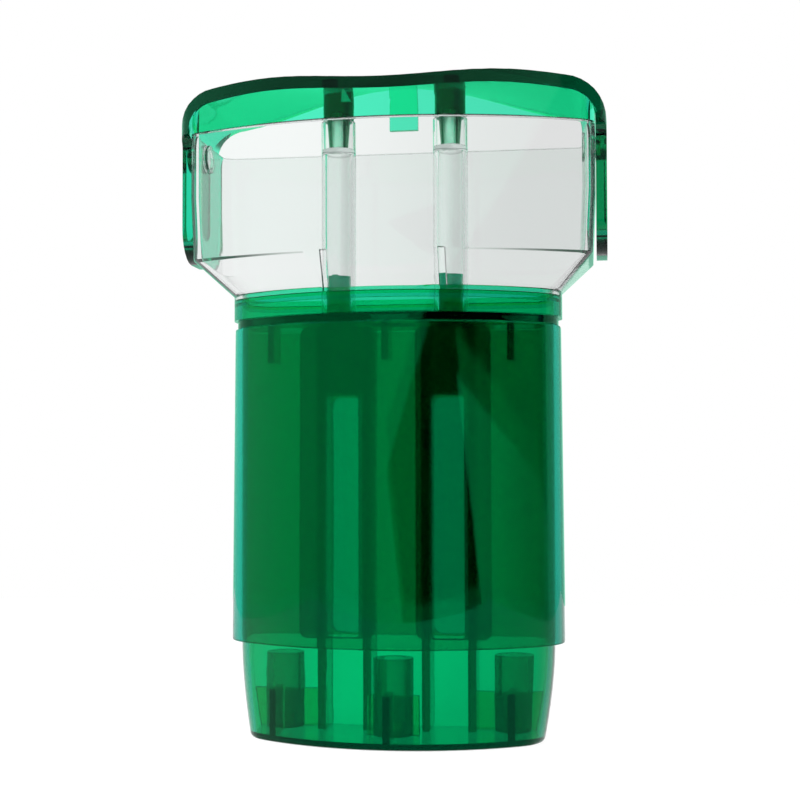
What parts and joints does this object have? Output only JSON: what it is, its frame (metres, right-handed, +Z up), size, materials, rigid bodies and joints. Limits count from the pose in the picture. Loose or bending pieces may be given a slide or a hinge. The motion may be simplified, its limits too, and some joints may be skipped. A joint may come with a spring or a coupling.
{
  "type": "dart case",
  "caption": "Slim hard case for three assembled darts: translucent body, pull-off sleeve, clear flight housing, and a lid that lifts on side arms and tips back.",
  "frame": {"origin": "centre of the footprint on the base plane", "axes": "+Z up from the base to the lid, -Y out of the curved front, X across the three darts"},
  "size_m": [0.1036, 0.042, 0.1667],
  "materials": {
    "body_green": "polished translucent green",
    "sleeve_green": "polished translucent green",
    "lid_green": "polished translucent green",
    "cup_green": "translucent green",
    "clear_plastic": "polished clear",
    "steel_pin": "plain turned"
  },
  "bodies": {
    "body": {"body_shell": "body_green", "collar": "body_green", "column_left": "body_green", "column_right": "body_green", "flight_housing": "clear_plastic", "tip_cup_left": "cup_green", "tip_cup_middle": "cup_green", "tip_cup_right": "cup_green", "column_cover_left": "body_green", "column_cover_right": "body_green", "post_left": "clear_plastic", "post_right": "clear_plastic"},
    "sleeve": {"sleeve": "sleeve_green"},
    "pivot": {"pivot_stud_left": "clear_plastic", "pivot_stud_right": "clear_plastic"},
    "lid": {"lid": "lid_green", "boss_left": "cup_green", "boss_right": "cup_green", "spigot_pin_left": "steel_pin", "spigot_pin_right": "steel_pin"}
  },
  "joints": [
    {"name": "sleeve_pull", "type": "slide", "parent": "body", "child": "sleeve", "axis": [0, 0, -1], "range_m": [0, 0.078]},
    {"name": "lid_tilt", "type": "hinge", "parent": "body", "child": "pivot", "pos_m": [0, 0.004, 0.1433], "axis": [-1, 0, 0], "range_deg": [0, 80]},
    {"name": "lid_lift", "type": "slide", "parent": "pivot", "child": "lid", "axis": [0, 0, 1], "range_m": [0, 0.0172]}
  ],
  "couplings": [
    {"joint": "lid_lift", "follows": "lid_tilt", "m_per_rad": 0.012318}
  ]
}
